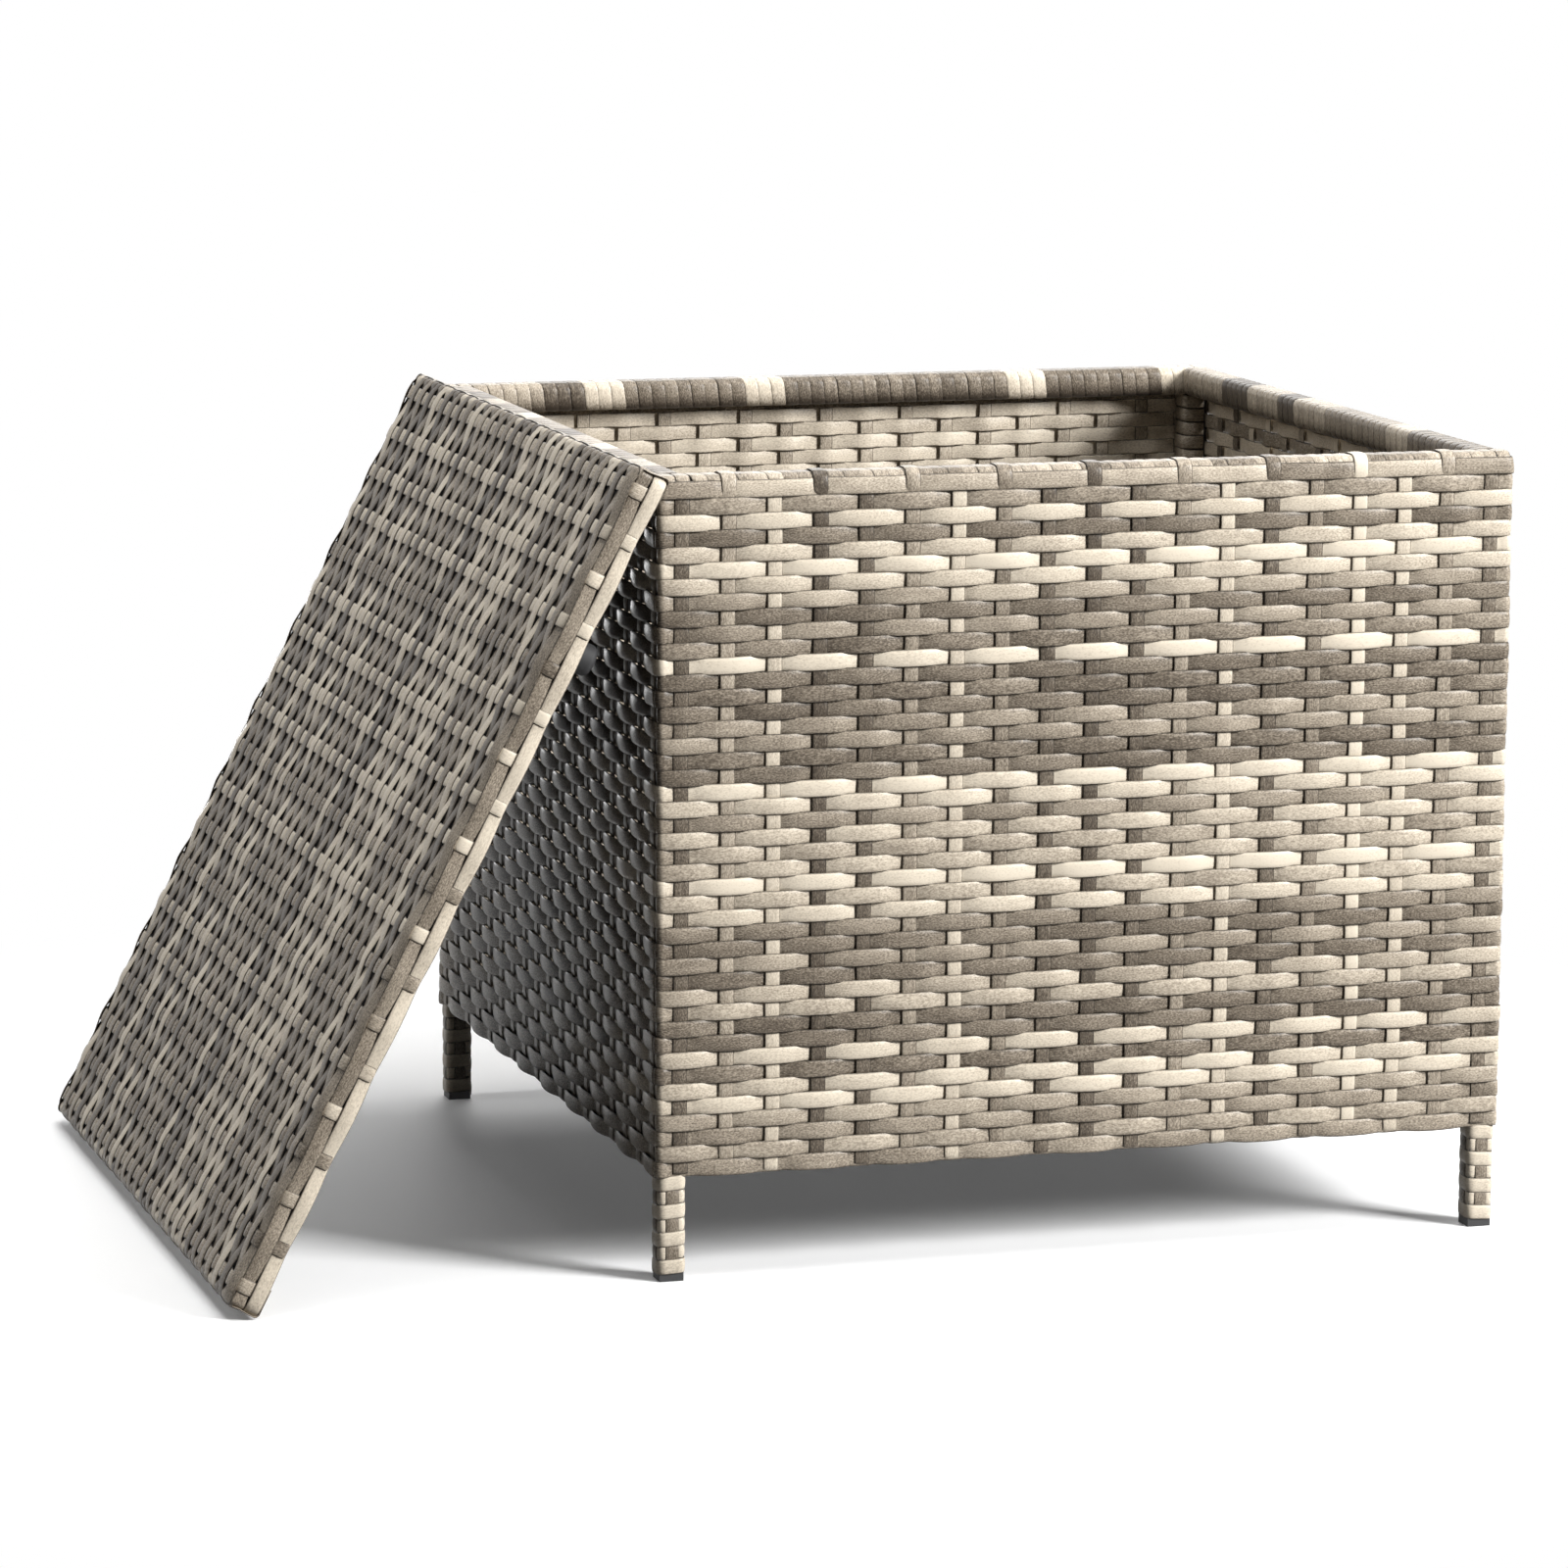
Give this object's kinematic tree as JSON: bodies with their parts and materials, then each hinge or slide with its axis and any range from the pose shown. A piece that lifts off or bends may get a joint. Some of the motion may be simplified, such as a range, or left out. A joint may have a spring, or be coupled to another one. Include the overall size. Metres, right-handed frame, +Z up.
{
  "type": "storage side table",
  "caption": "Square woven storage box on short wrapped legs, open at the top, with its flat woven lift-off lid leaning against the left side; with the lid on it serves as a low table.",
  "frame": {"origin": "on the floor, at the middle of the rectangle of floor that the box and the leaning lid cover", "axes": "+X to the right as seen from the front, front at -Y, +Z up"},
  "size_m": [0.8206, 0.571, 0.5018],
  "materials": {
    "woven_strip": "flat plastic strip with a mottled grain, each strip cream, beige grey or dark grey",
    "frame_steel": "black powder coat",
    "foot_plastic": "black moulded plastic",
    "floor_sheet": "dark grey plastic sheet with a fine grain",
    "screw_steel": "zinc plated",
    "peg_rubber": "black rubber"
  },
  "bodies": {
    "table": {"bottom_rail_back": "frame_steel", "bottom_rail_front": "frame_steel", "bottom_rail_left": "frame_steel", "bottom_rail_right": "frame_steel", "corner_lashing_back_left": "woven_strip", "corner_lashing_back_right": "woven_strip", "corner_lashing_front_left": "woven_strip", "corner_lashing_front_right": "woven_strip", "floor_bearer_left": "frame_steel", "floor_bearer_right": "frame_steel", "floor_panel": "floor_sheet", "floor_screws": "screw_steel", "foot_plug_back_left": "foot_plastic", "foot_plug_back_right": "foot_plastic", "foot_plug_front_left": "foot_plastic", "foot_plug_front_right": "foot_plastic", "leg_wrap_back_left": "woven_strip", "leg_wrap_back_right": "woven_strip", "leg_wrap_front_left": "woven_strip", "leg_wrap_front_right": "woven_strip", "post_back_left": "frame_steel", "post_back_right": "frame_steel", "post_front_left": "frame_steel", "post_front_right": "frame_steel", "rim_wrap_back": "woven_strip", "rim_wrap_front": "woven_strip", "rim_wrap_left": "woven_strip", "rim_wrap_right": "woven_strip", "top_rail_back": "frame_steel", "top_rail_front": "frame_steel", "top_rail_left": "frame_steel", "top_rail_right": "frame_steel", "wall_weave_back": "woven_strip", "wall_weave_front": "woven_strip", "wall_weave_left": "woven_strip", "wall_weave_right": "woven_strip"},
    "lid": {"lid_crossbar_lower": "frame_steel", "lid_crossbar_upper": "frame_steel", "lid_edge_band_back": "woven_strip", "lid_edge_band_front": "woven_strip", "lid_edge_band_lower": "woven_strip", "lid_edge_band_upper": "woven_strip", "lid_peg_back": "peg_rubber", "lid_peg_front": "peg_rubber", "lid_peg_screws": "screw_steel", "lid_rail_back": "frame_steel", "lid_rail_front": "frame_steel", "lid_rail_lower": "frame_steel", "lid_rail_upper": "frame_steel", "lid_top_weave": "woven_strip"}
  },
  "joints": [
    {"name": "lid_lift", "type": "slide", "parent": "table", "child": "lid", "axis": [0, 0, 1], "range_m": [0, 0.55]}
  ]
}
